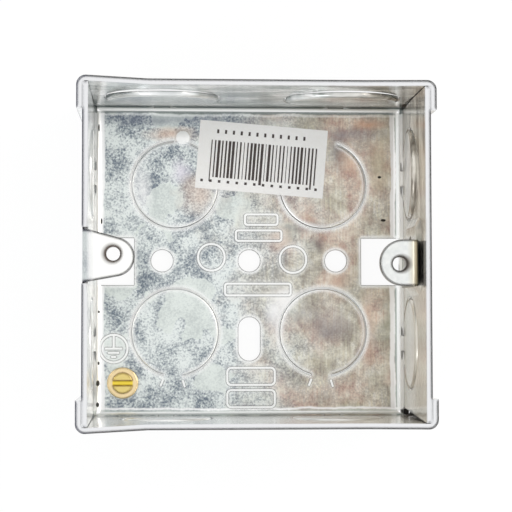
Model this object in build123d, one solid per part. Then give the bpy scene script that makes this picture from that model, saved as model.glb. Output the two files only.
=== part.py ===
from build123d import *
import os
from math import asin, degrees

# A one-gang back box for a wall socket or switch, folded from one sheet of galvanised steel.
# The box lies on its back with the open side up: X to the right, Y up the face of the wall it
# is set in, Z out of the wall. The origin is the centre of the back's outer face. Millimetres.

# Sheet and folds: the side walls (plus and minus X) have the larger fold
sheet = 1.2
side_bend = 2.0
end_bend = 1.5
side_bend_outer = side_bend + sheet
end_bend_outer = end_bend + sheet

# Box
box_width = 73.3
box_depth = 35.0
inner_face = box_width / 2 - sheet
side_fold = inner_face - side_bend

# Corners: the end walls (plus and minus Y) turn round them as tabs outside the side walls
tab_gap = 0.05
tab_reach = 6.2
tab_bend_outer = 2.0
tab_foot = 3.0
tab_foot_inset = 0.1
tab_face = box_width / 2 + tab_gap + sheet
side_wall_gap = 0.15
slit_narrow = 0.6
slit_narrow_height = 20.0
slit_wide = 1.8
slit_wide_height = 33.0
corner_relief = 0.6
corner_relief_inset = 0.8
flare_left = 0.7
flare_right = 0.12
flare_length = 15.0

# Spot welds that hold each tab to its side wall, two on a tab
weld_diameter = 2.4
weld_dimple = 0.15
weld_above_back = 10.0
weld_below_rim = 9.0
weld_setback = 3.2

# Knock-outs
shear_gap = 0.14
wall_shear_gap = 0.3
disc_roll = 0.5
wall_disc_roll = 0.8
hole_roll = 0.3
bridge_width = 3.6
lower_bridge_width = 4.4
lower_bridge_turn = 2.5
bridge_overlap = 0.15
small_knockout = 20.0
large_knockout = 25.0
side_knockout_margin = -0.9
end_knockout_margin = -0.4
back_knockout_x = 17.0
back_knockout_above = 17.5
back_knockout_below = 16.4
side_knockout_y = 19.0
top_knockout_x = 20.0
bottom_knockout_x = 19.0

# How far the wall discs have sprung into the box at the end away from their bridge
top_spring = 1.4
upper_right_spring = 1.0
lower_right_spring = 0.4
other_spring = 0.5

# Marks of the press tool at the bridges: a dimple at one, a pair of low ridges at two
dimple_radius = 2.0
dimple_height = 0.3
dimple_turn = 9.0
ridge_length = 1.8
ridge_width = 0.5
ridge_height = 0.15
ridge_flare = 20.0

# Fixing holes in the back
fixing_hole = 5.0
fixing_spacing = 20.0
slot_width = 5.0
slot_length = 10.0
slot_below = 17.95

# Windows in the back, one under each lug, cut on into the fold
window_edge_left = 26.4
window_edge_right = 25.9
window_width = 10.8
window_drop = 0.2
window_run = 1.3

# Faceplate lugs, tapped M3.5 in a collar drawn down from the tongue
lug_from_wall = 6.5
lug_centres = box_width - 2 * lug_from_wall
tapped_hole = 2.9
collar_wall = 1.0
collar_depth = 1.7
collar_taper = 0.5
collar_entry = 0.15

# Fixed lug: its eye stands a little beyond and below its hole
fixed_lug_drop = 1.0
fixed_lug_bend = 0.9
fixed_lug_radius = 4.1
fixed_lug_ahead = 0.4
fixed_lug_eye_below = 0.65
fixed_lug_root = 11.0
fixed_lug_root_below = 0.35
fixed_lug_relief = 0.4

# Sliding lug: an L bracket on a pad pressed inwards from the right wall
lug_drop = 2.2
lug_width = 9.8
lug_tip_reach = 4.2
lug_hole_below = 0.25
lug_bend_inner = 0.5
lug_leg_past_rivet = 6.0
lug_foot_radius = 2.5
lug_travel = 3.0
lug_rest = -1.75
slide_gap = 0.05
pad_height = 1.0
pad_width = 13.0
pad_length = 15.0
pad_ramp = 2.0
pad_below_rim = 15.0
pad_centre = box_depth - pad_below_rim
lug_leg_face = inner_face - pad_height - slide_gap

# Rivet that carries the sliding lug in the slot of the pad
rivet_shank = 3.0
rivet_fit = 0.03
rivet_play = 0.1
rivet_head = 5.6
rivet_head_height = 0.9
rivet_head_round = 0.5

# Earth terminal, in the lower left corner
earth_from_side = 6.55
earth_from_end = 7.55
earth_x = earth_from_side - inner_face
earth_y = earth_from_end - inner_face
earth_collar_diameter = 5.6
earth_collar_height = 1.0
earth_thread = 3.5
thread_clearance = 0.05
flange_diameter = 7.1
flange_height = 0.9
boss_diameter = 4.6
boss_height = 0.9
flange_round = 0.3
boss_round = 0.22
screw_slot_width = 1.1
screw_slot_depth = 0.9
screw_tip_clear = 0.2

# Raised earth mark beside the terminal
mark_height = 0.25
mark_line = 0.5
mark_radius = 3.4
mark_left_of_screw = 2.1
mark_above_screw = 7.8
mark_x = earth_x - mark_left_of_screw
mark_y = earth_y + mark_above_screw
mark_bars = (4.0, 2.6, 1.2)
mark_bar_pitch = 0.95

# Blank stamped fields, where such a box carries its markings: x, y, width, height, corner radius
field_height = 0.2
field_line = 0.5
blank_fields = [
    (2.8, 9.5, 8.0, 2.9, 0.8),
    (2.2, 5.8, 11.0, 2.9, 0.8),
    (2.0, -6.6, 15.6, 3.2, 0.8),
    (-8.7, 0.8, 6.6, 6.6, 3.2),
    (10.1, 0.3, 6.6, 6.6, 3.2),
    (0.4, -26.5, 11.4, 4.4, 1.2),
    (0.4, -31.6, 11.4, 4.4, 1.2),
]

# Paper label stuck on the back
label_width = 29.6
label_height = 15.8
label_thickness = 0.12
label_x = 2.9
label_below_wall = 11.95
label_y = inner_face - label_below_wall
label_turn = -4.7

sin_45 = 0.5**0.5
through = 4 * sheet
BOTTOM = (Align.CENTER, Align.CENTER, Align.MIN)
TOP = (Align.CENTER, Align.CENTER, Align.MAX)


def rounded_block(half, base, length, side_radius):
    """A block on the plane z = base, with its two lower edges along Y rounded."""
    block = Pos(0, 0, base) * Box(2 * half, length, box_depth, align=BOTTOM)
    return fillet(block.edges().filter_by(Axis.Y).group_by(Axis.Z)[0], side_radius)


def side_walls(length):
    """The two side walls with their folds, above the height where the end folds finish."""
    outer = rounded_block(box_width / 2, 0, length, side_bend_outer)
    inner = rounded_block(inner_face, sheet, length + 2 * sheet, side_bend)
    return split(outer - inner, bisect_by=Plane.XY.offset(end_bend_outer), keep=Keep.TOP)


def make_foot():
    """The back and the lower part of its four folds, which meet in mitres at the corners."""
    def dish(half, base, side_radius, end_radius):
        """A block rounded along all four lower edges."""
        sides = rounded_block(half, base, 2 * half, side_radius)
        ends = Rot(0, 0, 90) * rounded_block(half, base, 2 * half, end_radius)
        return sides & ends

    foot = dish(box_width / 2, 0, side_bend_outer, end_bend_outer)
    foot = foot - dish(inner_face, sheet, side_bend, end_bend)
    foot = split(foot, bisect_by=Plane.XY.offset(end_bend_outer), keep=Keep.BOTTOM)
    for side_x in (-1, 1):
        for side_y in (-1, 1):
            inset = inner_face - corner_relief_inset
            place = Pos(side_x * inset, side_y * inset, 0)
            foot = foot - place * Cylinder(corner_relief / 2, through)
    return foot


def end_wall_plan(flare_l, flare_r):
    """Plan of the +Y wall with the tab at each end, pulled out by a flare towards each corner."""
    face = box_width / 2
    radius = tab_bend_outer

    def corner(side, flare, inset):
        """Points from the tab's end round one corner to the start of the straight wall."""
        x = side * (tab_face - inset)
        centre_x = side * (tab_face - radius)
        centre_y = face + flare - radius
        reach = (radius - inset) * sin_45
        middle = (centre_x + side * reach, centre_y + reach)
        straight = side * (tab_face - flare_length)
        return [(x, face - tab_reach), (x, centre_y), middle,
                (centre_x, face + flare - inset), (straight, face - inset)]

    outer_l = corner(-1, flare_l, 0)
    outer_r = corner(1, flare_r, 0)
    inner_l = corner(-1, flare_l, sheet)
    inner_r = corner(1, flare_r, sheet)

    def run_edges(points):
        return [Line(points[0], points[1]), ThreePointArc(*points[1:4]), Line(*points[3:5])]

    edges = run_edges(outer_l) + [Line(outer_l[4], outer_r[4])] + run_edges(outer_r)
    edges += run_edges(inner_l) + [Line(inner_l[4], inner_r[4])] + run_edges(inner_r)
    edges += [Line(outer_l[0], inner_l[0]), Line(outer_r[0], inner_r[0])]
    return make_face(edges)


def knockout(wall, diameter, bridge, cut, spring):
    """Hole for a knock-out that leaves its bridge uncut, and its disc.

    `wall` lies on the sheet's inner face, `bridge` is the bridge's angle and width, and `cut` is
    the gap round the disc and the radius of its rolled edge.
    """
    angle, width = bridge
    gap, roll = cut
    radius = diameter / 2
    edge = radius + gap
    hole = Pos(0, 0, -sheet / 2) * Cylinder(edge, through)
    hole = hole + Cone(edge, edge + 2 * hole_roll, 2 * hole_roll)
    turned = wall * Rot(0, 0, angle)
    anchor = edge + 2 * hole_roll + bridge_overlap
    reach = anchor - radius + 2 * roll
    uncut = Box(reach, width, 2 * through, align=(Align.MAX, Align.CENTER, Align.CENTER))
    disc = Cylinder(radius, sheet, align=TOP)
    disc = fillet(disc.edges().group_by(Axis.Z)[-1], roll)
    tilt = degrees(asin(spring / diameter))
    disc = turned * Pos(radius, 0, 0) * Rot(0, tilt, 0) * Pos(-radius, 0, 0) * disc
    return wall * hole - turned * Pos(anchor, 0, 0) * uncut, disc


def dome(radius, height):
    """A shallow round dimple standing on the plane z = 0; the ball lies with its poles sideways."""
    ball = (radius**2 + height**2) / (2 * height)
    cap = Pos(0, 0, height - ball) * Rot(90, 0, 0) * Sphere(ball)
    return cap & Cylinder(2 * radius, 2 * height, align=BOTTOM)


def pressed_pad(width, length, height, ramp):
    """A raised flat pad with sloping sides, standing on the plane z = 0."""
    low = RectangleRounded(width + 2 * ramp, length + 2 * ramp, 2 * ramp)
    high = Pos(0, 0, height) * RectangleRounded(width, length, ramp)
    return loft([low, high], ruled=True)


def folded_strip(points, mid_radius, width):
    """A strip of sheet folded along a path of centre-line points in the XZ plane."""
    path = FilletPolyline(*points, radius=mid_radius)
    section = trace(path, line_width=sheet)
    return extrude(Plane.XZ * section, amount=width / 2, both=True)


def tapped_collar(x, y, top):
    """Collar drawn down under a lug, and the bore with its rolled entry."""
    under = top - sheet
    low_radius = tapped_hole / 2 + collar_wall
    cone = Cone(low_radius, low_radius + collar_taper, collar_depth, align=TOP)
    collar = Pos(x, y, under) * cone
    bore = Pos(x, y, under) * Cylinder(tapped_hole / 2, 2 * through)
    entry_radius = tapped_hole / 2 + collar_entry
    entry = Pos(x, y, top) * Cone(tapped_hole / 2, entry_radius, collar_entry, align=TOP)
    return collar, bore + entry


def tongue_outline(tip, radius, root, root_half, eye_y, root_y):
    """Plan of a lug: a round eye at the tip, widening to its root; both x values are signed."""
    side = 1 if root > tip else -1
    eye = Pos(tip + side * radius, eye_y) * Circle(radius)
    root_edge = Pos(root - side * sheet / 2, root_y) * Rectangle(sheet, 2 * root_half)
    return make_hull(eye.edges() + root_edge.edges())


def add_knockouts(body):
    """Cut every knock-out and put its disc back on its bridge."""
    side_height = side_bend_outer + side_knockout_margin + small_knockout / 2
    bottom_height = end_bend_outer + end_knockout_margin + small_knockout / 2
    top_height = end_bend_outer + end_knockout_margin + large_knockout / 2
    back = Plane(origin=(0, 0, sheet), x_dir=(1, 0, 0), z_dir=(0, 0, 1))
    right = Plane(origin=(inner_face, 0, 0), x_dir=(0, -1, 0), z_dir=(-1, 0, 0))
    left = Plane(origin=(-inner_face, 0, 0), x_dir=(0, 1, 0), z_dir=(1, 0, 0))
    top = Plane(origin=(0, inner_face, 0), x_dir=(1, 0, 0), z_dir=(0, -1, 0))
    bottom = Plane(origin=(0, -inner_face, 0), x_dir=(-1, 0, 0), z_dir=(0, 1, 0))
    right_springs = {-1: upper_right_spring, 1: lower_right_spring}
    upper_bridge = (90 - dimple_turn, bridge_width)
    lower_bridge = (-90 - lower_bridge_turn, lower_bridge_width)
    wall_bridge = (-90, bridge_width)
    back_cut = (shear_gap, disc_roll)
    wall_cut = (wall_shear_gap, wall_disc_roll)
    places = []
    for side in (-1, 1):
        upper = back * Pos(side * back_knockout_x, back_knockout_above)
        lower = back * Pos(side * back_knockout_x, -back_knockout_below)
        places.append((upper, small_knockout, upper_bridge, back_cut, 0))
        places.append((lower, small_knockout, lower_bridge, back_cut, 0))
        for wall, spring in ((left, other_spring), (right, right_springs[side])):
            spot = wall * Pos(side * side_knockout_y, side_height)
            places.append((spot, small_knockout, wall_bridge, wall_cut, spring))
        spot = top * Pos(side * top_knockout_x, top_height)
        places.append((spot, large_knockout, wall_bridge, wall_cut, top_spring))
        spot = bottom * Pos(side * bottom_knockout_x, bottom_height)
        places.append((spot, small_knockout, wall_bridge, wall_cut, other_spring))
    for place, diameter, bridge, cut, spring in places:
        hole, disc = knockout(place, diameter, bridge, cut, spring)
        body = body - hole + disc
    return body


def add_press_marks(body):
    """The dimple at the upper left bridge, and the ridges beside the two lower ones."""
    edge = small_knockout / 2
    place = Pos(-back_knockout_x, back_knockout_above, sheet) * Rot(0, 0, 90 - dimple_turn)
    bump = place * Pos(edge + dimple_radius / 2, 0, 0) * dome(dimple_radius, dimple_height)
    body = body + bump - Pos(0, 0, -sheet) * bump
    outline = Pos(ridge_length / 2, 0) * SlotOverall(ridge_length, ridge_width)
    ridge = Pos(0, 0, -ridge_height) * extrude(outline, amount=2 * ridge_height)
    for side_x in (-1, 1):
        centre = Pos(side_x * back_knockout_x, -back_knockout_below, sheet)
        bridge = centre * Rot(0, 0, -90 - lower_bridge_turn)
        for side in (-1, 1):
            start = Pos(edge + hole_roll + ridge_width, side * lower_bridge_width / 2, 0)
            body = body + bridge * start * Rot(0, 0, side * ridge_flare) * ridge
    return body


def add_fixed_lug(body):
    """The left lug: a tongue left on the wall's rim and folded inwards."""
    top = box_depth - fixed_lug_drop
    bend_outer = fixed_lug_bend + sheet
    root_y = -fixed_lug_root_below
    slot = Box(2 * bend_outer, fixed_lug_root + 2 * fixed_lug_relief, box_depth, align=BOTTOM)
    body = body - Pos(-box_width / 2, root_y, top - bend_outer) * slot
    mid_x = -box_width / 2 + sheet / 2
    mid_z = top - sheet / 2
    hole_x = -lug_centres / 2
    tip = hole_x + fixed_lug_ahead + fixed_lug_radius
    path = [(mid_x, top - bend_outer - sheet), (mid_x, mid_z), (tip, mid_z)]
    strip = folded_strip(path, fixed_lug_bend + sheet / 2, fixed_lug_root)
    plan = tongue_outline(tip, fixed_lug_radius, -box_width / 2, fixed_lug_root / 2,
                          -fixed_lug_eye_below, root_y)
    tongue = Pos(0, root_y, 0) * strip & extrude(plan, amount=box_depth)
    collar, bore = tapped_collar(hole_x, 0, top)
    return body + tongue + collar - bore


def add_lug_pad(body):
    """The pad that the sliding lug runs on, pressed inwards, with the rivet's slot."""
    inside = Plane(origin=(inner_face, 0, pad_centre), x_dir=(0, 1, 0), z_dir=(-1, 0, 0))
    pad = inside * pressed_pad(pad_width, pad_length, pad_height, pad_ramp)
    width = rivet_shank + 2 * rivet_play
    slot = SlotOverall(width + 2 * lug_travel, width)
    slot = extrude(inside * slot, amount=through, both=True)
    return body + pad - Pos(sheet, 0, 0) * pad - slot


def add_welds(body):
    """Spot welds between each tab and the side wall inside it, with the electrode's dimple."""
    for side_x in (-1, 1):
        for side_y in (-1, 1):
            for height in (weld_above_back, box_depth - weld_below_rim):
                y = side_y * (box_width / 2 - weld_setback)
                spot = Pos(side_x * (tab_face - sheet), y, height) * Rot(0, side_x * -90, 0)
                nugget = spot * Cylinder(weld_diameter / 2, tab_gap + sheet / 2, align=BOTTOM)
                face = Pos(side_x * tab_face, y, height) * Rot(0, side_x * -90, 0)
                dimple = face * dome(weld_diameter / 2, weld_dimple)
                body = body + nugget - dimple
    return body


def add_earth_terminal(body):
    """Collar of the earth screw, drawn up from the back, and the raised earth mark."""
    collar = Cylinder(earth_collar_diameter / 2, sheet + earth_collar_height, align=BOTTOM)
    bore = Cylinder(earth_thread / 2 + thread_clearance, 2 * through)
    body = body + Pos(earth_x, earth_y, 0) * collar - Pos(earth_x, earth_y, 0) * bore
    lines = Circle(mark_radius) - Circle(mark_radius - mark_line)
    for row, length in enumerate(mark_bars):
        lines = lines + Pos(0, -row * mark_bar_pitch) * Rectangle(length, mark_line)
    stem_length = mark_radius - mark_line
    lines = lines + Pos(0, stem_length / 2) * Rectangle(mark_line, stem_length)
    raised = extrude(Pos(mark_x, mark_y, sheet - mark_height) * lines, amount=2 * mark_height)
    return body + raised


def add_blank_fields(body):
    """Low raised frames with nothing in them, pressed up from the back."""
    for x, y, width, height, corner in blank_fields:
        outline = RectangleRounded(width, height, corner)
        hollow = offset(outline, amount=-field_line)
        frame = Pos(x, y, sheet - field_height) * (outline - hollow)
        body = body + extrude(frame, amount=2 * field_height)
    return body


def trim_side_walls(sides, length):
    """Cut the ends of the side walls so that they meet the flared end walls, with a slit below."""
    depth = 2 * side_bend_outer
    for side_x in (-1, 1):
        flare = flare_right if side_x > 0 else flare_left
        rim_end = inner_face - side_wall_gap + flare
        for side_y in (-1, 1):
            slit, height = slit_narrow, slit_narrow_height
            if (side_x, side_y) == (1, -1):
                slit, height = slit_wide, slit_wide_height
            slit_end = inner_face - side_wall_gap + flare * height / box_depth
            foot_end = inner_face - side_wall_gap - slit
            waste = Polyline((side_y * foot_end, 0), (side_y * length, 0),
                             (side_y * length, box_depth), (side_y * rim_end, box_depth),
                             (side_y * slit_end, height), close=True)
            waste = extrude(Plane.YZ * make_face(waste), amount=depth)
            start = side_fold if side_x > 0 else -side_fold - depth
            sides = sides - Pos(start, 0, 0) * waste
    return sides


def make_body():
    """The folded sheet with everything that is cut or pressed in it."""
    half_length = box_width / 2 + max(flare_left, flare_right)
    body = make_foot() + trim_side_walls(side_walls(2 * half_length), half_length)
    low = Pos(0, 0, end_bend_outer) * end_wall_plan(0, 0)
    high = Pos(0, 0, box_depth) * end_wall_plan(flare_left, flare_right)
    wall = loft([low, high], ruled=True)
    trim = Box(2 * side_bend_outer, 2 * box_width, 2 * tab_foot)
    for side in (-1, 1):
        trim_x = box_width / 2 - tab_foot_inset + side_bend_outer
        wall = wall - Pos(side * trim_x, 0, 0) * trim
    body = body + wall + mirror(wall, about=Plane.XZ)
    for side, window_edge in ((-1, window_edge_left), (1, window_edge_right)):
        length = side_fold + window_run - window_edge
        window = Box(length, window_width, through)
        window_x = side * (window_edge + length / 2)
        body = body - Pos(window_x, -window_drop, sheet / 2) * window
    body = add_knockouts(body)
    body = add_press_marks(body)
    for x in (-fixing_spacing, 0, fixing_spacing):
        body = body - Pos(x, 0, 0) * Cylinder(fixing_hole / 2, through)
    slot = Pos(0, -slot_below) * Rot(0, 0, 90) * SlotOverall(slot_length, slot_width)
    body = body - extrude(slot, amount=through, both=True)
    body = add_fixed_lug(body)
    body = add_lug_pad(body)
    body = add_welds(body)
    body = add_earth_terminal(body)
    return add_blank_fields(body)


def make_adjustable_lug():
    """The sliding L bracket, at its rest place."""
    top = box_depth - lug_drop
    mid_x = lug_leg_face - sheet / 2
    mid_z = top - sheet / 2
    tip = lug_centres / 2 - lug_tip_reach
    path = [(tip, mid_z), (mid_x, mid_z), (mid_x, pad_centre - lug_leg_past_rivet)]
    strip = folded_strip(path, lug_bend_inner + sheet / 2, lug_width)
    plan = tongue_outline(tip, lug_width / 2, lug_leg_face, lug_width / 2, 0, 0)
    lug = strip & extrude(plan, amount=box_depth)
    foot = lug.edges().filter_by(Axis.X).group_by(Axis.Z)[0]
    lug = fillet(foot, lug_foot_radius)
    collar, bore = tapped_collar(lug_centres / 2, -lug_hole_below, top)
    hole = Pos(mid_x, 0, pad_centre) * Rot(0, 90, 0)
    hole = hole * Cylinder(rivet_shank / 2 + rivet_fit, through)
    return Pos(0, lug_rest, 0) * (lug + collar - bore - hole)


def make_rivet():
    """The rivet through the leg and the pad's slot, headed on both sides."""
    leg_inner = lug_leg_face - sheet
    recess = inner_face - pad_height + sheet + slide_gap
    shank = Cylinder(rivet_shank / 2, recess - leg_inner, align=BOTTOM)
    head = Cylinder(rivet_head / 2, rivet_head_height, align=BOTTOM)
    head = fillet(head.edges().group_by(Axis.Z)[-1], rivet_head_round)
    outer = Pos(0, 0, recess - leg_inner) * head
    inner = Rot(180, 0, 0) * head
    rivet = Rot(0, 90, 0) * (shank + outer + inner)
    return Pos(leg_inner, lug_rest, pad_centre) * rivet


def make_earth_screw():
    """Slotted brass screw with a flange under its boss."""
    seat = sheet + earth_collar_height
    shank_length = seat - screw_tip_clear
    shank = Cylinder(earth_thread / 2, shank_length, align=TOP)
    flange = Cylinder(flange_diameter / 2, flange_height, align=BOTTOM)
    flange = fillet(flange.edges().group_by(Axis.Z)[-1], flange_round)
    boss = Cylinder(boss_diameter / 2, boss_height, align=BOTTOM)
    boss = fillet(boss.edges().group_by(Axis.Z)[-1], boss_round)
    slot = Box(flange_diameter, screw_slot_width, screw_slot_depth, align=TOP)
    slot = Pos(0, 0, flange_height + boss_height) * slot
    screw = shank + flange + Pos(0, 0, flange_height) * boss - slot
    return Pos(earth_x, earth_y, seat) * screw


def make_label():
    """The paper sticker, lying flat on the back."""
    paper = Box(label_width, label_height, label_thickness, align=BOTTOM)
    return Pos(label_x, label_y, sheet) * Rot(0, 0, label_turn) * paper


nodes = {
    "box_body": make_body(),
    "adjustable_lug": make_adjustable_lug(),
    "lug_rivet": make_rivet(),
    "earth_screw": make_earth_screw(),
    "label": make_label(),
}

os.makedirs("parts", exist_ok=True)
for name, shape in nodes.items():
    export_step(shape, f"parts/{name}.step")
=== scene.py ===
import math
from types import SimpleNamespace

import bpy
from mathutils import Matrix, Vector


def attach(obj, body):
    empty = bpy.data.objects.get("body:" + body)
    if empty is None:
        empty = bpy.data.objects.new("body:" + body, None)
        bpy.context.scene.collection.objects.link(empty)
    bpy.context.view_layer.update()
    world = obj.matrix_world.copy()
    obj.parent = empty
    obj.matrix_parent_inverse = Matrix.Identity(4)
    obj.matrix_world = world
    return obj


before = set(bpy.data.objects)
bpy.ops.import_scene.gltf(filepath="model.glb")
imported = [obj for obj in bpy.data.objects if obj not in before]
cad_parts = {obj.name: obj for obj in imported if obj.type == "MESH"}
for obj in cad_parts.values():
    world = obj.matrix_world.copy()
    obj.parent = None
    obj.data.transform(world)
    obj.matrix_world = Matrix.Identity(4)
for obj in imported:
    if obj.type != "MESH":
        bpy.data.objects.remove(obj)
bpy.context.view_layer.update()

# Lengths are millimetres in this file and are turned to metres where Blender takes them.
MM = 0.001

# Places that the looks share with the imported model
lug_holes = [(-30.15, 0.0), (30.15, -2.0)]
knockout_centres = [(-17.0, 17.5), (17.0, 17.5), (-17.0, -16.4), (17.0, -16.4)]
knockout_radius = 10.0
screw_centre = (-28.9, -27.9)
screw_top = 4.0
label_centre = (2.9, 23.5)
label_turn = math.radians(-4.7)
label_size = (29.6, 15.8)
label_top = 1.32
ink_height = 0.012

# Colour of the painted shade deep in crevices
painted_crevice_shade = "#161412"

# Settings of a Mix node that lays one colour over another
BLEND = {"out": 2, "data_type": "RGBA"}


def colour(hex_code):
    """An sRGB hex value as linear RGBA."""
    channels = [int(hex_code[i:i + 2], 16) / 255 for i in (1, 3, 5)]
    return [c / 12.92 if c <= 0.04045 else ((c + 0.055) / 1.055) ** 2.4 for c in channels] + [1.0]


def add(tree, kind, inputs=None, out=0, **settings):
    """Adds a node with its settings, values and links, and returns one of its outputs."""
    made = tree.nodes.new(kind)
    for name, value in settings.items():
        setattr(made, name, value)
    for key, value in (inputs or {}).items():
        if isinstance(value, bpy.types.NodeSocket):
            tree.links.new(value, made.inputs[key])
        else:
            made.inputs[key].default_value = value
    return made.outputs[out] if made.outputs else None


def blank_material(name):
    """A material with an empty node tree."""
    made = bpy.data.materials.new(name)
    made.use_nodes = True
    made.node_tree.nodes.clear()
    return made, made.node_tree


def dress(node, material):
    """Gives a CAD node one material."""
    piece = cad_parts[node]
    piece.data.materials.clear()
    piece.data.materials.append(material)
    for face in piece.data.polygons:
        face.material_index = 0


# Camera: fitted to the photograph, almost straight down into the open box.
camera_data = bpy.data.cameras.new("camera")
camera_data.sensor_width = 36.0
camera_data.lens = 111.56
camera_data.clip_start = 0.01
camera_data.clip_end = 10.0
camera = bpy.data.objects.new("camera", camera_data)
camera.location = Vector((-19.553, -16.341, 365.379)) * MM
camera.rotation_euler = [math.radians(a) for a in (2.7444, -3.3175, -0.0788)]
bpy.context.collection.objects.link(camera)
bpy.context.scene.camera = camera


# Marks on the back of this one sheet, its own stains and smears, and pink and peach patches that are a painted
# reflection of a warm room: x, y, half width, half height (mm), colour, strength
sheet_marks = [
    (-17.5, 29.0, 6.0, 1.8, "#DDB79C", 0.6),
    (-11.8, 15.6, 4.5, 4.5, "#D8B8A2", 0.5),
    (7.1, 4.8, 3.0, 3.0, "#C9A690", 0.5),
    (-15.0, 32.4, 19.0, 1.4, "#6C7286", 0.5),
    (20.8, 25.4, 2.2, 5.0, "#6B6569", 0.6),
    (20.3, -15.9, 4.0, 2.6, "#7A6F70", 0.5),
    (16.2, 3.6, 1.6, 1.6, "#6B6365", 0.5),
    (6.4, -11.3, 2.6, 5.0, "#FFFFFF", 0.9),
    (-24.0, 17.0, 2.5, 5.0, "#FFFFFF", 0.6),
    (-15.5, 20.5, 2.6, 2.6, "#EFEAF4", 0.7),
    (27.5, -15.0, 2.0, 8.0, "#DDB9A3", 0.55),
    (20.5, -4.8, 4.0, 2.6, "#DDBBA6", 0.5),
    (17.5, -14.0, 5.5, 5.0, "#8B8388", 0.5),
    (32.0, -14.0, 1.6, 12.0, "#A3A899", 0.5),
    (9.0, -8.5, 2.4, 2.4, "#FFFFFF", 0.7),
    (27.5, 31.6, 4.2, 1.3, "#D9AE92", 0.6),
    (24.0, 29.3, 8.0, 1.6, "#837D88", 0.5),
    (23.5, 23.0, 2.6, 3.0, "#DDB79C", 0.5),
    (30.2, 22.0, 2.2, 7.0, "#CBBFA2", 0.55),
    (14.0, 7.5, 5.0, 1.4, "#77767E", 0.45),
    (31.0, 0.0, 3.0, 1.2, "#CFC6B4", 0.5),
]

# Dark specks, middle (x, y, z) and half sizes (mm). The last two are the shade in the open slit of
# one corner, and the shade that shows through the sliding lug's hole.
dark_specks_and_shade = [
    (30.2, 19.4, 1.2, 0.45, 0.3, 4.0),
    (31.1, 9.4, 1.2, 0.6, 0.35, 4.0),
    (-34.4, -11.7, 1.2, 0.25, 0.35, 4.0),
    (-34.4, -23.4, 1.2, 0.25, 0.45, 4.0),
    (-34.6, -28.0, 1.2, 0.4, 0.7, 4.0),
    (-34.6, -32.8, 1.2, 0.4, 0.6, 4.0),
    (-34.5, 30.6, 1.2, 0.2, 0.9, 4.0),
    (-33.9, 8.9, 1.2, 0.25, 0.7, 4.0),
    (36.0, -34.6, 8.0, 1.3, 0.9, 12.0),
    (35.3, -1.9, 2.5, 1.1, 1.7, 4.0),
]

# Bands along the folds, painted highlights in white and painted shade and reflections in grey-green: axis, side,
# start and end from the middle (mm), colour, strength
painted_fold_bands = [
    ("x", 1, 32.7, 33.8, "#FFFFFF", 0.9),
    ("x", 1, 33.9, 34.6, "#93A29D", 0.85),
    ("x", 1, 34.7, 36.0, "#FFFFFF", 0.9),
    ("x", -1, 33.2, 35.4, "#FFFFFF", 0.9),
    ("y", 1, 33.4, 33.8, "#FFFFFF", 0.4),
    ("y", 1, 34.0, 36.4, "#4F5D5B", 0.9),
    ("y", -1, 33.7, 34.1, "#FFFFFF", 0.8),
    ("y", -1, 34.2, 35.3, "#8E9A93", 0.6),
]


def sheet_places(tree):
    """Where a point of the folded sheet lies, in millimetres, and the patterns that its layers share."""
    place = add(tree, "ShaderNodeTexCoord", out="Object")
    grid = add(tree, "ShaderNodeMapping", {"Vector": place, "Scale": (1 / MM,) * 3})
    at = SimpleNamespace(grid=grid)
    at.x, at.y, at.z = (add(tree, "ShaderNodeSeparateXYZ", {0: grid}, out=axis) for axis in "XYZ")
    at.normal = add(tree, "ShaderNodeNewGeometry", out="Normal")
    at.flat = add(tree, "ShaderNodeVectorMath", {0: grid, 1: (1.0, 1.0, 0.0)}, operation="MULTIPLY")

    # How far a face looks away from the middle: about 36 on the walls' outer faces, 0 on the back
    at.facing = add(tree, "ShaderNodeVectorMath", {0: at.normal, 1: at.flat}, out="Value", operation="DOT_PRODUCT")
    at.inside = add(tree, "ShaderNodeMapRange", {"Value": at.facing, "From Min": 20.0, "From Max": 10.0})
    rise = add(tree, "ShaderNodeMapRange", {"Value": at.z, "From Min": 1.9, "From Max": 5.0, "To Max": 0.92})
    at.wall = add(tree, "ShaderNodeMath", {0: rise, 1: at.inside}, operation="MULTIPLY")

    # The fixed lug's tongue, inboard of the wall and near the middle of its length
    inboard = add(tree, "ShaderNodeMath", {0: at.x}, operation="ABSOLUTE")
    inboard = add(tree, "ShaderNodeMapRange", {"Value": inboard, "From Min": 36.0, "From Max": 34.0})
    midway = add(tree, "ShaderNodeMath", {0: at.y}, operation="ABSOLUTE")
    midway = add(tree, "ShaderNodeMapRange", {"Value": midway, "From Min": 8.0, "From Max": 7.0})
    at.tongue = add(tree, "ShaderNodeMath", {0: inboard, 1: midway}, operation="MULTIPLY")

    # Dark grain of the dull crystals, real size 0.1 to 0.3 mm, drawn at 0.45 mm so that it shows
    grain_size, cluster_size = 0.45, 5.0
    at.grain = add(tree, "ShaderNodeTexNoise",
                   {"Vector": grid, "Scale": 1 / grain_size, "Detail": 4.0, "Roughness": 0.75})
    at.cluster = add(tree, "ShaderNodeTexNoise",
                     {"Vector": grid, "Scale": 1 / cluster_size, "Detail": 3.0, "Roughness": 0.6})
    density = add(tree, "ShaderNodeMath", {0: at.cluster, 1: 0.7, 2: 0.12}, operation="MULTIPLY_ADD")
    depth = add(tree, "ShaderNodeMath", {0: density, 1: at.grain}, operation="SUBTRACT")
    at.speckle = add(tree, "ShaderNodeMapRange", {"Value": depth, "From Min": -0.13, "From Max": 0.13})

    # A ragged shift for the outlines of crystals and marks, and a slow drift from one half to the other
    ragged_size, drift_size = 5.0, 12.0
    ragged = add(tree, "ShaderNodeTexNoise", {"Vector": grid, "Scale": 1 / ragged_size, "Detail": 4.0},
                 out="Color")
    at.shift = add(tree, "ShaderNodeVectorMath", {0: ragged, 1: (0.5, 0.5, 0.5)}, operation="SUBTRACT")
    at.drift = add(tree, "ShaderNodeTexNoise",
                   {"Vector": grid, "Scale": 1 / drift_size, "Detail": 4.0, "Roughness": 0.65})
    return at


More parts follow.
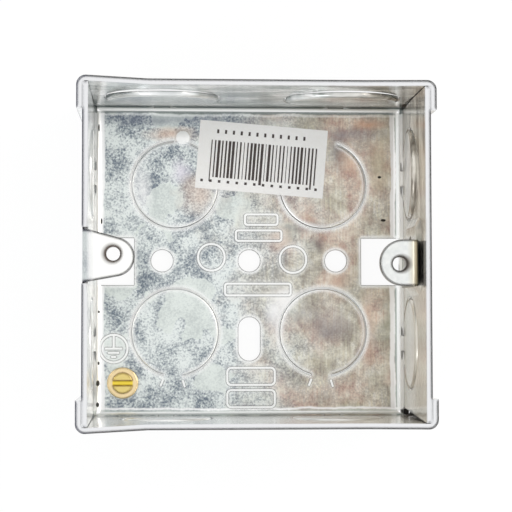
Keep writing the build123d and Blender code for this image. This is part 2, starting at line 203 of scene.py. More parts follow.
def zinc_crystals(tree, at):
    """Dull crystals with their dark grain, and bright flames about 6 mm across among them."""
    flame_size = 6.0
    dull = add(tree, "ShaderNodeMix", {0: at.speckle, 6: colour("#E8EEEC"), 7: colour("#717C88")}, **BLEND)
    bent = add(tree, "ShaderNodeVectorMath", {0: at.shift, "Scale": 6.0}, operation="SCALE")
    warped = add(tree, "ShaderNodeVectorMath", {0: at.grid, 1: bent}, operation="ADD")
    crystal = add(tree, "ShaderNodeTexVoronoi", {"Vector": warped, "Scale": 1 / flame_size}, out="Color")
    shade = add(tree, "ShaderNodeSeparateColor", {"Color": crystal}, out="Red")
    flame = add(tree, "ShaderNodeMapRange", {"Value": shade, "From Min": 0.74, "From Max": 0.77, "To Max": 0.7})
    return add(tree, "ShaderNodeMix", {0: flame, 6: dull, 7: colour("#E2E9E4")}, **BLEND)


def warm_reflection_and_streaks(tree, at):
    """A pink and straw tint, a painted reflection of a warm room, over streaks rubbed in two directions by the
    press tool.
    """
    rub_width, hue_size, blotch_size = 0.5, 9.0, 3.5
    streaks = []
    for turn, length in ((6.0, 12.0), (-34.0, 7.0)):
        laid = add(tree, "ShaderNodeMapping",
                   {"Vector": at.grid, "Rotation": (0.0, 0.0, math.radians(turn)),
                    "Scale": (1 / rub_width, 1 / length, 1 / length)})
        streaks.append(add(tree, "ShaderNodeTexNoise",
                           {"Vector": laid, "Scale": 1.0, "Detail": 3.0, "Roughness": 0.65}))
    switch = add(tree, "ShaderNodeMapRange", {"Value": at.cluster, "From Min": 0.45, "From Max": 0.55})
    streak = add(tree, "ShaderNodeMix", {0: switch, 2: streaks[0], 3: streaks[1]})
    rubbed = add(tree, "ShaderNodeMapRange", {"Value": streak, "From Min": 0.3, "From Max": 0.7})
    # The pink and straw tint is a painted reflection of a warm room
    hue = add(tree, "ShaderNodeTexNoise", {"Vector": at.grid, "Scale": 1 / hue_size, "Detail": 3.0})
    hue = add(tree, "ShaderNodeMapRange", {"Value": hue, "From Min": 0.42, "From Max": 0.58})
    warm_tint = add(tree, "ShaderNodeMix", {0: hue, 6: colour("#CFBDB0"), 7: colour("#C4C1B3")}, **BLEND)
    rub = add(tree, "ShaderNodeMix", {0: rubbed, 6: colour("#8A8583"), 7: colour("#F4F2EE")}, **BLEND)
    warm = add(tree, "ShaderNodeMix", {0: 0.38, 6: warm_tint, 7: rub}, **BLEND, blend_type="OVERLAY")
    blotch = add(tree, "ShaderNodeTexNoise",
                 {"Vector": at.grid, "Scale": 1 / blotch_size, "Detail": 5.0, "Roughness": 0.7})
    blotch = add(tree, "ShaderNodeMapRange", {"Value": blotch, "From Min": 0.36, "From Max": 0.64})
    blotched = add(tree, "ShaderNodeMix", {0: blotch, 6: colour("#8A8486"), 7: colour("#F8F4EE")}, **BLEND)
    warm = add(tree, "ShaderNodeMix", {0: 0.6, 6: warm, 7: blotched}, **BLEND, blend_type="OVERLAY")
    smudge = add(tree, "ShaderNodeMath", {0: at.speckle, 1: 0.4}, operation="MULTIPLY")
    return add(tree, "ShaderNodeMix", {0: smudge, 6: warm, 7: colour("#6E666B")}, **BLEND)


def halves(tree, at):
    """Crystals on the left that pass into the painted warm reflection and streaks on the right, and a plain skin on
    the outer faces.
    """
    lean = add(tree, "ShaderNodeMath", {0: at.drift, 1: 50.0, 2: at.x}, operation="MULTIPLY_ADD")
    share = add(tree, "ShaderNodeMapRange", {"Value": lean, "From Min": 17.0, "From Max": 42.0, "To Max": 0.95})
    share = add(tree, "ShaderNodeMath", {0: share, 1: at.inside}, operation="MULTIPLY")
    both = {0: share, 6: zinc_crystals(tree, at), 7: warm_reflection_and_streaks(tree, at)}
    zinc = add(tree, "ShaderNodeMix", both, **BLEND)
    skin = add(tree, "ShaderNodeMapRange", {"Value": at.facing, "From Min": 10.0, "From Max": 20.0, "To Max": 0.6})
    return add(tree, "ShaderNodeMix", {0: skin, 6: zinc, 7: colour("#D3D8D9")}, **BLEND)


def soft_marks(tree, at, zinc):
    """Lays the stains and smears of this one sheet over its back, and pink and peach patches that paint the
    reflection of a warm room.
    """
    reach_up = 8.0
    wobble = add(tree, "ShaderNodeVectorMath", {0: at.shift, "Scale": 1.6}, operation="SCALE")
    for x, y, half_wide, half_high, tone, strength in sheet_marks:
        near = add(tree, "ShaderNodeMapping",
                   {"Vector": at.grid, "Location": (x, y, 0.0), "Scale": (half_wide, half_high, reach_up)},
                   vector_type="TEXTURE")
        near = add(tree, "ShaderNodeVectorMath", {0: near, 1: wobble}, operation="ADD")
        away = add(tree, "ShaderNodeVectorMath", {0: near}, out="Value", operation="LENGTH")
        mark = add(tree, "ShaderNodeMapRange",
                   {"Value": away, "From Min": 1.3, "From Max": 0.2, "To Max": strength})
        zinc = add(tree, "ShaderNodeMix", {0: mark, 6: zinc, 7: colour(tone)}, **BLEND)
    return zinc


def painted_fold_light(tree, at, zinc):
    """Lays painted highlights and painted shade in bands along the folds. Their edges wander a little."""
    low = add(tree, "ShaderNodeMapRange", {"Value": at.z, "From Min": 4.0, "From Max": 3.0})
    wander = add(tree, "ShaderNodeMath", {0: at.drift, 1: 1.8, 2: -0.9}, operation="MULTIPLY_ADD")
    across = {"x": at.x, "y": at.y}
    for axis, side, start, end, tone, strength in painted_fold_bands:
        middle, half = (start + end) / 2, (end - start) / 2
        along = add(tree, "ShaderNodeMath", {0: across[axis], 1: float(side), 2: wander}, operation="MULTIPLY_ADD")
        off = add(tree, "ShaderNodeMath", {0: along, 1: middle}, operation="SUBTRACT")
        off = add(tree, "ShaderNodeMath", {0: off}, operation="ABSOLUTE")
        band = add(tree, "ShaderNodeMapRange",
                   {"Value": off, "From Min": half + 0.15, "From Max": half - 0.1, "To Max": strength})
        band = add(tree, "ShaderNodeMath", {0: band, 1: low}, operation="MULTIPLY")
        zinc = add(tree, "ShaderNodeMix", {0: band, 6: zinc, 7: colour(tone)}, **BLEND)
    return zinc


def painted_wall_light(tree, at, zinc):
    """Paints light and reflections on the walls inside: white on the left and below, straw on the right, and dull
    in bands as painted reflections of the room, most of all above and in the upper right corner."""
    band_length, band_height = 11.0, 3.4
    # Painted light and reflections on the inner walls
    side = add(tree, "ShaderNodeMapRange", {"Value": at.x, "From Min": 10.0, "From Max": 36.0})
    bright = add(tree, "ShaderNodeMix", {0: side, 6: colour("#FBFCFC"), 7: colour("#EAE5DA")}, **BLEND)
    dull = add(tree, "ShaderNodeMix", {0: side, 6: colour("#7E8B8A"), 7: colour("#7A7064")}, **BLEND)
    bands = add(tree, "ShaderNodeMapping",
                {"Vector": at.grid, "Scale": (1 / band_length, 1 / band_length, 1 / band_height)})
    bands = add(tree, "ShaderNodeTexNoise",
                {"Vector": bands, "Scale": 1.0, "Detail": 3.0, "Roughness": 0.55, "Distortion": 0.4})
    bands = add(tree, "ShaderNodeMapRange", {"Value": bands, "From Min": 0.4, "From Max": 0.6})
    above = add(tree, "ShaderNodeMapRange", {"Value": at.y, "From Min": 34.0, "From Max": 35.5, "To Max": 0.35})
    corner = add(tree, "ShaderNodeMath", {0: at.x, 1: at.y}, operation="ADD")
    corner = add(tree, "ShaderNodeMapRange", {"Value": corner, "From Min": 22.0, "From Max": 62.0, "To Max": 0.95})
    share = add(tree, "ShaderNodeMath", {0: above, 1: corner}, operation="ADD")
    share = add(tree, "ShaderNodeMath", {0: share, 1: 0.12}, operation="ADD", use_clamp=True)
    share = add(tree, "ShaderNodeMath", {0: share, 1: bands}, operation="MULTIPLY")
    wall = add(tree, "ShaderNodeMix", {0: share, 6: bright, 7: dull}, **BLEND)
    zinc = add(tree, "ShaderNodeMix", {0: at.wall, 6: zinc, 7: wall}, **BLEND)

    # The rim is a little greyer than the fixed lug's tongue, whose near white is painted light
    rim = add(tree, "ShaderNodeMapRange", {"Value": at.z, "From Min": 33.5, "From Max": 34.5})
    trim = add(tree, "ShaderNodeMix", {0: at.tongue, 6: colour("#DFE0E2"), 7: colour("#FBFAF6")}, **BLEND)
    return add(tree, "ShaderNodeMix", {0: rim, 6: zinc, 7: trim}, **BLEND)


def edge_masks(tree, at):
    """How near a sheared edge is: a thin line, a soft band and a wide line, and the outward share."""
    masks = []
    for radius, start, full in ((0.4, 0.99, 0.94), (1.6, 0.9995, 0.95), (0.9, 0.9993, 0.988)):
        turned = add(tree, "ShaderNodeBevel", {"Radius": radius * MM}, samples=6)
        agree = add(tree, "ShaderNodeVectorMath", {0: turned, 1: at.normal}, out="Value", operation="DOT_PRODUCT")
        masks.append(add(tree, "ShaderNodeMapRange", {"Value": agree, "From Min": start, "From Max": full}))
    outward = add(tree, "ShaderNodeVectorMath", {0: turned, 1: at.flat}, out="Value", operation="DOT_PRODUCT")
    outer = add(tree, "ShaderNodeMapRange", {"Value": outward, "From Min": 1.0, "From Max": 4.0})
    return (*masks, outer)


def knockout_distance(tree, at):
    """The distance to the middle of the nearest knock-out in the back (mm)."""
    nearest = None
    for x, y in knockout_centres:
        away = add(tree, "ShaderNodeVectorMath", {0: at.flat, 1: (x, y, 0.0)}, out="Value", operation="DISTANCE")
        nearest = add(tree, "ShaderNodeMath", {0: nearest, 1: away}, operation="MINIMUM") if nearest else away
    return nearest


def painted_edge_light(tree, at, zinc):
    """Paints shade as a dark line along each sheared edge and as a soft shade beside the rim, painted
    white highlights beside the edges in the back and on raised marks, and the knock-outs in the back with a
    painted highlight on the disc's rolled edge and painted shade as a dark line on the hole."""
    thin, soft, wide, outer = edge_masks(tree, at)
    high = add(tree, "ShaderNodeMapRange", {"Value": at.z, "From Min": 30.0, "From Max": 31.0})
    # Painted soft shade beside the rim's outer edge
    shaded = 0.45
    for share in (outer, high, soft):
        shaded = add(tree, "ShaderNodeMath", {0: shaded, 1: share}, operation="MULTIPLY")
    zinc = add(tree, "ShaderNodeMix", {0: shaded, 6: zinc, 7: colour("#84848E")}, **BLEND)
    lined = add(tree, "ShaderNodeMath", {0: outer, 1: at.tongue}, operation="MAXIMUM")
    lined = add(tree, "ShaderNodeMath", {0: lined, 1: high}, operation="MULTIPLY")
    rim_line = add(tree, "ShaderNodeMath", {0: wide, 1: lined}, operation="MULTIPLY")
    below = add(tree, "ShaderNodeMapRange", {"Value": at.z, "From Min": 31.0, "From Max": 30.0, "To Max": 0.8})
    cut_line = add(tree, "ShaderNodeMath", {0: thin, 1: below}, operation="MULTIPLY")

    # Round each knock-out, by distance from its middle
    edge = knockout_radius
    nearest = knockout_distance(tree, at)
    at_back = add(tree, "ShaderNodeMapRange", {"Value": at.z, "From Min": 2.0, "From Max": 1.7})
    tilt = add(tree, "ShaderNodeSeparateXYZ", {0: at.normal}, out="Z")
    slope = add(tree, "ShaderNodeMapRange", {"Value": tilt, "From Min": 0.99, "From Max": 0.93})
    slope = add(tree, "ShaderNodeMath", {0: slope, 1: at_back}, operation="MULTIPLY")
    disc = add(tree, "ShaderNodeMapRange", {"Value": nearest, "From Min": edge + 0.02, "From Max": edge - 0.02})
    rolled = add(tree, "ShaderNodeMath", {0: disc, 1: slope}, operation="MULTIPLY")
    hole = add(tree, "ShaderNodeMapRange", {"Value": nearest, "From Min": edge - 0.02, "From Max": edge + 0.02})
    groove = add(tree, "ShaderNodeMath", {0: hole, 1: slope}, operation="MULTIPLY")
    line = add(tree, "ShaderNodeMapRange", {"Value": nearest, "From Min": edge + 0.2, "From Max": edge + 0.1})
    groove = add(tree, "ShaderNodeMath", {0: groove, 1: line}, operation="MULTIPLY")
    ring = add(tree, "ShaderNodeMapRange", {"Value": nearest, "From Min": edge + 1.2, "From Max": edge + 0.9})
    ring = add(tree, "ShaderNodeMath", {0: ring, 1: at_back}, operation="MULTIPLY")

    # Raised press marks get a painted white highlight
    raised = add(tree, "ShaderNodeMapRange", {"Value": at.z, "From Min": 1.27, "From Max": 1.34, "To Max": 0.85})
    raised = add(tree, "ShaderNodeMath", {0: raised, 1: at_back}, operation="MULTIPLY")
    for share in (rolled, ring, raised):
        cut_line = add(tree, "ShaderNodeMath", {0: cut_line, 1: share}, operation="SUBTRACT", use_clamp=True)
    # Painted white highlights beside edges in the back, on the discs' rolled edges and on raised marks
    white = add(tree, "ShaderNodeMath", {0: soft, 1: at_back}, operation="MULTIPLY")
    for share in (rolled, raised):
        white = add(tree, "ShaderNodeMath", {0: white, 1: share}, operation="MAXIMUM")
    zinc = add(tree, "ShaderNodeMix", {0: white, 6: zinc, 7: colour("#FCFDFC")}, **BLEND)
    # Painted shade as dark lines along the edges, navy on the left
    dark = rim_line
    for share in (cut_line, groove):
        dark = add(tree, "ShaderNodeMath", {0: dark, 1: share}, operation="MAXIMUM")
    left = add(tree, "ShaderNodeMapRange", {"Value": at.x, "From Min": -34.0, "From Max": -37.0})
    edge_shade = add(tree, "ShaderNodeMix", {0: left, 6: colour("#2B2927"), 7: colour("#20243A")}, **BLEND)
    return add(tree, "ShaderNodeMix", {0: dark, 6: zinc, 7: edge_shade}, **BLEND)


def specks_and_painted_shade(tree, at, zinc):
    """Dark specks, painted shade deep in the slits and behind the sliding lug, and a painted dark brown shade round
    the fixed lug's hole.
    """
    for speck in dark_specks_and_shade:
        near = add(tree, "ShaderNodeMapping", {"Vector": at.grid, "Location": speck[:3], "Scale": speck[3:]},
                   vector_type="TEXTURE")
        near = add(tree, "ShaderNodeVectorMath", {0: near, 1: at.shift}, operation="ADD")
        away = add(tree, "ShaderNodeVectorMath", {0: near}, out="Value", operation="LENGTH")
        spot = add(tree, "ShaderNodeMapRange", {"Value": away, "From Min": 1.1, "From Max": 0.8, "To Max": 0.95})
        zinc = add(tree, "ShaderNodeMix", {0: spot, 6: zinc, 7: colour("#1B1917")}, **BLEND)
    # Painted shade deep in crevices
    deep = crevice_mask(tree)
    upper = add(tree, "ShaderNodeMapRange", {"Value": at.z, "From Min": 8.0, "From Max": 12.0, "To Min": 0.12})
    deep = add(tree, "ShaderNodeMath", {0: deep, 1: upper}, operation="MULTIPLY")
    zinc = add(tree, "ShaderNodeMix", {0: deep, 6: zinc, 7: colour(painted_crevice_shade)}, **BLEND)
    # Painted dark brown shade round the fixed lug's hole
    x, y = lug_holes[0]
    ring = add(tree, "ShaderNodeMapping",
               {"Vector": at.grid, "Location": (x - 0.2, y, 34.0), "Scale": (2.5, 2.5, 3.0)}, vector_type="TEXTURE")
    ring = add(tree, "ShaderNodeVectorMath", {0: ring}, out="Value", operation="LENGTH")
    hole_shade = add(tree, "ShaderNodeMapRange", {"Value": ring, "From Min": 1.0, "From Max": 0.62, "To Max": 0.8})
    return add(tree, "ShaderNodeMix", {0: hole_shade, 6: zinc, 7: colour("#4A3A2E")}, **BLEND)


def crevice_mask(tree):
    """How deep in a crevice a point lies, from what stands within 2.5 mm of it."""
    open_air = add(tree, "ShaderNodeAmbientOcclusion", {"Distance": 2.5 * MM}, out="AO", samples=8)
    return add(tree, "ShaderNodeMapRange", {"Value": open_air, "From Min": 0.42, "From Max": 0.12})


# Hot-dip galvanised strip, folded after coating. The zinc froze in crystals: bright flame-shaped
# ones stand among dull ones with a dark grain. A pink and straw tint on the right is a painted
# reflection of a warm room, and the folds, edges, walls and crevices carry painted highlights and shade.
# Inside, the walls mirror one another many times and a full metal would render too dark there, so
# they have a lower metallic share.
def galvanised_steel():
    material, tree = blank_material("hot-dip galvanised steel strip")
    at = sheet_places(tree)
    zinc = halves(tree, at)
    for layer in (soft_marks, painted_fold_light, painted_wall_light, painted_edge_light, specks_and_painted_shade):
        zinc = layer(tree, at, zinc)
    back_roughness, wall_drop = 0.33, -0.17
    gloss = add(tree, "ShaderNodeMath", {0: at.wall, 1: wall_drop, 2: back_roughness}, operation="MULTIPLY_ADD")
    ripple_size = 2.4
    ripple = add(tree, "ShaderNodeTexNoise", {"Vector": at.grid, "Scale": 1 / ripple_size, "Detail": 2.0})
    height = add(tree, "ShaderNodeMath", {0: ripple, 1: 5.0, 2: at.grain}, operation="MULTIPLY_ADD")
    bump = add(tree, "ShaderNodeBump", {"Height": height, "Strength": 1.0, "Distance": 0.008 * MM})
    film = add(tree, "ShaderNodeMapRange", {"Value": at.z, "From Min": 1.4, "From Max": 2.2, "To Max": 0.45})
    film = add(tree, "ShaderNodeMath", {0: film, 1: at.inside}, operation="MULTIPLY")
    metal = add(tree, "ShaderNodeMath", {0: 1.0, 1: film}, operation="SUBTRACT")
    shader = add(tree, "ShaderNodeBsdfPrincipled",
                 {"Base Color": zinc, "Metallic": metal, "Roughness": gloss, "Normal": bump})
    add(tree, "ShaderNodeOutputMaterial", {"Surface": shader})
    return material


# Bright zinc plating on a small pressed bracket: almost white, with painted shade at its sheared
# edges and in its crevices, a painted straw highlight where the plate is bent, and a painted brown
# shade beside the sliding lug's hole. The plating is uneven in patches of about 1.2 mm.
def zinc_plate():
    material, tree = blank_material("bright zinc plated steel")
    place = add(tree, "ShaderNodeTexCoord", out="Object")
    grid = add(tree, "ShaderNodeMapping", {"Vector": place, "Scale": (1 / MM,) * 3})
    patch_size = 1.2
    patch = add(tree, "ShaderNodeTexNoise", {"Vector": grid, "Scale": 1 / patch_size, "Detail": 3.0})
    tone = add(tree, "ShaderNodeMix", {0: patch, 6: colour("#D4D8D8"), 7: colour("#FAFBF8")}, **BLEND)
    x = add(tree, "ShaderNodeSeparateXYZ", {0: grid}, out="X")
    # Painted straw highlight along the bend
    bend = add(tree, "ShaderNodeMapRange", {"Value": x, "From Min": 31.8, "From Max": 33.6, "To Max": 0.8})
    tone = add(tree, "ShaderNodeMix", {0: bend, 6: tone, 7: colour("#D8CDAF")}, **BLEND)
    # Painted brown shade beside the sliding lug's hole
    hole_x, hole_y = lug_holes[1]
    ring = add(tree, "ShaderNodeMapping",
               {"Vector": grid, "Location": (hole_x + 0.5, hole_y, 32.8), "Scale": (2.5, 2.3, 3.0)},
               vector_type="TEXTURE")
    ring = add(tree, "ShaderNodeVectorMath", {0: ring}, out="Value", operation="LENGTH")
    hole_shade = add(tree, "ShaderNodeMapRange", {"Value": ring, "From Min": 1.0, "From Max": 0.6, "To Max": 0.85})
    tone = add(tree, "ShaderNodeMix", {0: hole_shade, 6: tone, 7: colour("#4A3B30")}, **BLEND)
    # Painted shade along the sheared edges and in crevices
    turned = add(tree, "ShaderNodeBevel", {"Radius": 0.9 * MM}, samples=6)
    plain = add(tree, "ShaderNodeNewGeometry", out="Normal")
    agree = add(tree, "ShaderNodeVectorMath", {0: turned, 1: plain}, out="Value", operation="DOT_PRODUCT")
    edge = add(tree, "ShaderNodeMapRange", {"Value": agree, "From Min": 0.998, "From Max": 0.97})
    skin = add(tree, "ShaderNodeMix", {0: edge, 6: tone, 7: colour("#2C2722")}, **BLEND)
    skin = add(tree, "ShaderNodeMix", {0: crevice_mask(tree), 6: skin, 7: colour(painted_crevice_shade)}, **BLEND)
    bump = add(tree, "ShaderNodeBump", {"Height": patch, "Strength": 1.0, "Distance": 0.012 * MM})
    shader = add(tree, "ShaderNodeBsdfPrincipled",
                 {"Base Color": skin, "Metallic": 1.0, "Roughness": 0.3, "Normal": bump})
    add(tree, "ShaderNodeOutputMaterial", {"Surface": shader})
    return material


# Turned free-cutting brass: fine rings round the screw's axis, painted shade at its edges, yellow in the slot.
# The tool leaves rings 0.05 to 0.1 mm apart, drawn about 0.24 mm apart so that they show.
def turned_brass():
    material, tree = blank_material("turned brass")
    place = add(tree, "ShaderNodeTexCoord", out="Object")
    centre = Vector((*screw_centre, 0.0)) * MM
    grid = add(tree, "ShaderNodeMapping", {"Vector": place, "Location": centre, "Scale": (MM,) * 3},
               vector_type="TEXTURE")
    rings = add(tree, "ShaderNodeTexWave", {"Vector": grid, "Scale": 1.3, "Distortion": 0.6, "Detail": 1.0},
                wave_type="RINGS", rings_direction="Z")
    tone = add(tree, "ShaderNodeMix", {0: rings, 6: colour("#EBCB8E"), 7: colour("#FFF0CB")}, **BLEND)
    flat = add(tree, "ShaderNodeVectorMath", {0: grid, 1: (1.0, 1.0, 0.0)}, operation="MULTIPLY")
    radius = add(tree, "ShaderNodeVectorMath", {0: flat}, out="Value", operation="LENGTH")
    boss = add(tree, "ShaderNodeMapRange", {"Value": radius, "From Min": 2.35, "From Max": 2.25})
    tone = add(tree, "ShaderNodeMix", {0: boss, 6: tone, 7: colour("#EAD488")}, **BLEND)
    height = add(tree, "ShaderNodeSeparateXYZ", {0: grid}, out="Z")
    sunk = add(tree, "ShaderNodeMapRange",
               {"Value": height, "From Min": screw_top - 0.6, "From Max": screw_top - 0.7})
    slot = add(tree, "ShaderNodeMath", {0: boss, 1: sunk}, operation="MULTIPLY")
    tone = add(tree, "ShaderNodeMix", {0: slot, 6: tone, 7: colour("#F6DA52")}, **BLEND)
    turned = add(tree, "ShaderNodeBevel", {"Radius": 0.6 * MM}, samples=6)
    plain = add(tree, "ShaderNodeNewGeometry", out="Normal")
    agree = add(tree, "ShaderNodeVectorMath", {0: turned, 1: plain}, out="Value", operation="DOT_PRODUCT")
    edge = add(tree, "ShaderNodeMapRange", {"Value": agree, "From Min": 0.99, "From Max": 0.93, "To Max": 0.9})
    skin = add(tree, "ShaderNodeMix", {0: edge, 6: tone, 7: colour("#6E4C1E")}, **BLEND)
    bump = add(tree, "ShaderNodeBump", {"Height": rings, "Strength": 1.0, "Distance": 0.008 * MM})
    shader = add(tree, "ShaderNodeBsdfPrincipled",
                 {"Base Color": skin, "Metallic": 1.0, "Roughness": 0.28, "Normal": bump})
    add(tree, "ShaderNodeOutputMaterial", {"Surface": shader})
    return material


# Uncoated white paper: matt, with a faint cloudy fibre, drawn at 0.5 mm so that it shows.
def label_paper():
    material, tree = blank_material("uncoated white label paper")
    place = add(tree, "ShaderNodeTexCoord", out="Object")
    grid = add(tree, "ShaderNodeMapping", {"Vector": place, "Scale": (1 / MM,) * 3})
    fibre_size = 0.5
    fibre = add(tree, "ShaderNodeTexNoise", {"Vector": grid, "Scale": 1 / fibre_size, "Detail": 3.0})
    tone = add(tree, "ShaderNodeMix", {0: fibre, 6: colour("#F8F7F4"), 7: colour("#FFFFFF")}, **BLEND)
    bump = add(tree, "ShaderNodeBump", {"Height": fibre, "Strength": 1.0, "Distance": 0.01 * MM})
    shader = add(tree, "ShaderNodeBsdfPrincipled", {"Base Color": tone, "Roughness": 0.62, "Normal": bump})
    add(tree, "ShaderNodeOutputMaterial", {"Surface": shader})
    return material


# Thermal-transfer print: dark brown-black with a dull shine, uneven in patches of about 1.5 mm.
def label_print():
    material, tree = blank_material("thermal transfer print")
    place = add(tree, "ShaderNodeTexCoord", out="Object")
    grid = add(tree, "ShaderNodeMapping", {"Vector": place, "Scale": (1 / MM,) * 3})
    patch_size = 1.5
    patch = add(tree, "ShaderNodeTexNoise", {"Vector": grid, "Scale": 1 / patch_size, "Detail": 2.0})
    tone = add(tree, "ShaderNodeMix", {0: patch, 6: colour("#2E2624"), 7: colour("#4F4441")}, **BLEND)
    shader = add(tree, "ShaderNodeBsdfPrincipled", {"Base Color": tone, "Roughness": 0.5})
    add(tree, "ShaderNodeOutputMaterial", {"Surface": shader})
    return material


plated = zinc_plate()
dress("box_body", galvanised_steel())
dress("adjustable_lug", plated)
dress("lug_rivet", plated)
dress("earth_screw", turned_brass())
dress("label", label_paper())


def printed_row_tree():
    """Geometry nodes: a row of printed bars of random width, some of them longer."""
    tree = bpy.data.node_groups.new("printed row", "GeometryNodeTree")
    tree.interface.new_socket("Geometry", in_out="OUTPUT", socket_type="NodeSocketGeometry")
    sizes = ["Row Length", "Thinnest", "Thickest", "Bar Height", "Long Bar Height", "Ink Height"]
    for name in sizes:
        tree.interface.new_socket(name, in_out="INPUT", socket_type="NodeSocketFloat")
    for name in ["Count", "Long Bar Every", "Seed"]:
        tree.interface.new_socket(name, in_out="INPUT", socket_type="NodeSocketInt")
    tree.interface.new_socket("Material", in_out="INPUT", socket_type="NodeSocketMaterial")
    given = tree.nodes.new("NodeGroupInput").outputs

    last = add(tree, "ShaderNodeMath", {0: given["Count"], 1: 1.0}, operation="SUBTRACT")
    pitch = add(tree, "ShaderNodeMath", {0: given["Row Length"], 1: last}, operation="DIVIDE")
    step = add(tree, "ShaderNodeCombineXYZ", {"X": pitch})
    line = add(tree, "GeometryNodeMeshLine", {"Count": given["Count"], "Offset": step})
    index = add(tree, "GeometryNodeInputIndex")
    width = add(tree, "FunctionNodeRandomValue",
                {2: given["Thinnest"], 3: given["Thickest"], "ID": index, "Seed": given["Seed"]}, out=1)
    turn = add(tree, "ShaderNodeMath", {0: index, 1: given["Long Bar Every"]}, operation="MODULO")
    is_long = add(tree, "FunctionNodeCompare", {0: turn, 1: 0.5}, operation="LESS_THAN")
    height = add(tree, "GeometryNodeSwitch",
                 {0: is_long, 1: given["Bar Height"], 2: given["Long Bar Height"]}, input_type="FLOAT")
    size = add(tree, "ShaderNodeCombineXYZ", {"X": width, "Y": height, "Z": given["Ink Height"]})
    bar = add(tree, "GeometryNodeMeshCube")
    lowered = add(tree, "GeometryNodeTransform", {"Geometry": bar, "Translation": (0.0, -0.5, 0.5)})
    copies = add(tree, "GeometryNodeInstanceOnPoints", {"Points": line, "Instance": lowered, "Scale": size})
    real = add(tree, "GeometryNodeRealizeInstances", {"Geometry": copies})
    inked = add(tree, "GeometryNodeSetMaterial", {"Geometry": real, "Material": given["Material"]})
    add(tree, "NodeGroupOutput", {0: inked})
    return tree


def printed_row(name, tree, left, top, values):
    """Runs the tree into a plain mesh on the label; left and top are mm from its upper left corner."""
    seed_mesh = bpy.data.meshes.new(name)
    carrier = bpy.data.objects.new(name, seed_mesh)
    bpy.context.collection.objects.link(carrier)
    modifier = carrier.modifiers.new("row", "NODES")
    modifier.node_group = tree
    for item in tree.interface.items_tree:
        if item.in_out == "INPUT":
            modifier[item.identifier] = values[item.name]
    evaluated = carrier.evaluated_get(bpy.context.evaluated_depsgraph_get())
    result = bpy.data.meshes.new_from_object(evaluated)
    carrier.modifiers.remove(modifier)
    carrier.data = result
    start = Vector((left - label_size[0] / 2, label_size[1] / 2 - top, 0.0)) * MM
    spot = Vector((*label_centre, label_top)) * MM
    turn = Matrix.Rotation(label_turn, 4, "Z")
    result.transform(Matrix.Translation(spot) @ turn @ Matrix.Translation(start))
    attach(carrier, "box")


# Each row: left and top on the label, then its sizes (mm), counts and seed
rows = {
    "label_bars": (3.1, 4.4, {"Row Length": 24.2, "Thinnest": 0.14, "Thickest": 0.62, "Bar Height": 8.6,
                              "Long Bar Height": 9.6, "Count": 30, "Long Bar Every": 14, "Seed": 8}),
    "label_rule": (4.3, 1.9, {"Row Length": 20.0, "Thinnest": 0.5, "Thickest": 0.5, "Bar Height": 0.9,
                              "Long Bar Height": 0.9, "Count": 12, "Long Bar Every": 1, "Seed": 1}),
    "label_dots": (1.4, 13.6, {"Row Length": 26.4, "Thinnest": 0.6, "Thickest": 0.6, "Bar Height": 0.6,
                               "Long Bar Height": 0.6, "Count": 14, "Long Bar Every": 1, "Seed": 1}),
}
row_tree = printed_row_tree()
print_ink = label_print()
for name, (left, top, values) in rows.items():
    lengths = {k: v * MM if isinstance(v, float) else v for k, v in values.items()}
    printed_row(name, row_tree, left, top, {**lengths, "Ink Height": ink_height * MM, "Material": print_ink})


def seen_share(tree):
    """1 where the camera, a reflection or a view through glass meets the background, else 0."""
    rays = tree.nodes.new("ShaderNodeLightPath").outputs
    direct = add(tree, "ShaderNodeMath", {0: rays["Is Camera Ray"], 1: rays["Is Glossy Ray"]}, operation="MAXIMUM")
    return add(tree, "ShaderNodeMath", {0: direct, 1: rays["Is Transmission Ray"]}, operation="MAXIMUM")


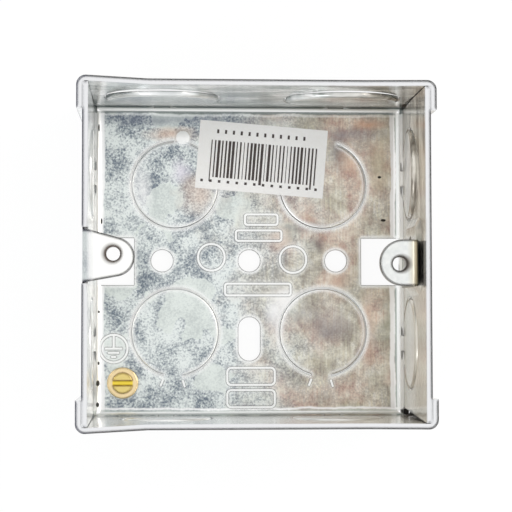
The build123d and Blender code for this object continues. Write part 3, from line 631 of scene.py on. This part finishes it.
# Floor: matt white card, faintly mottled at 2.5 mm, that keeps the shadow and otherwise shows as white.
def white_card():
    material, tree = blank_material("matt white card")
    place = add(tree, "ShaderNodeTexCoord", out="Object")
    mottle_size = 2.5 * MM
    fleck = add(tree, "ShaderNodeTexNoise", {"Vector": place, "Scale": 1 / mottle_size})
    tone = add(tree, "ShaderNodeMix", {0: fleck, 6: colour("#F6F6F6"), 7: colour("#FAFAFA")}, **BLEND)
    matt = add(tree, "ShaderNodeBsdfDiffuse", {"Color": tone})
    glow = add(tree, "ShaderNodeEmission", {"Color": colour("#FFFFFF"), "Strength": 1.0})
    glow_share = 0.92
    share = add(tree, "ShaderNodeMath", {0: seen_share(tree), 1: glow_share}, operation="MULTIPLY")
    shader = add(tree, "ShaderNodeMixShader", {0: share, 1: matt, 2: glow})
    add(tree, "ShaderNodeOutputMaterial", {"Surface": shader})
    return material


floor_mesh = bpy.data.meshes.new("floor")
reach, drop = 3.0, -0.1 * MM
corners = [(-reach, -reach, drop), (reach, -reach, drop), (reach, reach, drop), (-reach, reach, drop)]
floor_mesh.from_pydata(corners, [], [(0, 1, 2, 3)])
floor_mesh.materials.append(white_card())
floor = bpy.data.objects.new("floor", floor_mesh)
bpy.context.collection.objects.link(floor)

# Light: an even white room, and two soft boxes low on either side.
world = bpy.data.worlds.new("white room")
world.use_nodes = True
room = world.node_tree
room.nodes.clear()
fill = add(room, "ShaderNodeBackground", {"Color": colour("#FFFFFF"), "Strength": 1.0})
backdrop = add(room, "ShaderNodeBackground", {"Color": colour("#FFFFFF"), "Strength": 1.0})
sky = add(room, "ShaderNodeMixShader", {0: seen_share(room), 1: fill, 2: backdrop})
add(room, "ShaderNodeOutputWorld", {"Surface": sky})
bpy.context.scene.world = world


def soft_box(name, place, size, power, tone):
    """An area lamp, in metres and watts, aimed at the middle of the box."""
    lamp = bpy.data.lights.new(name, "AREA")
    lamp.size = size
    lamp.energy = power
    lamp.color = colour(tone)[:3]
    holder = bpy.data.objects.new(name, lamp)
    holder.location = place
    holder.rotation_euler = (-Vector(place)).to_track_quat("-Z", "Y").to_euler()
    bpy.context.collection.objects.link(holder)


soft_box("key_left", (-0.45, -0.38, 0.36), 0.35, 1.2, "#F6FAFF")
soft_box("fill_right", (0.50, 0.20, 0.42), 0.35, 1.6, "#FFF8F0")

bpy.context.scene.view_settings.view_transform = "Standard"
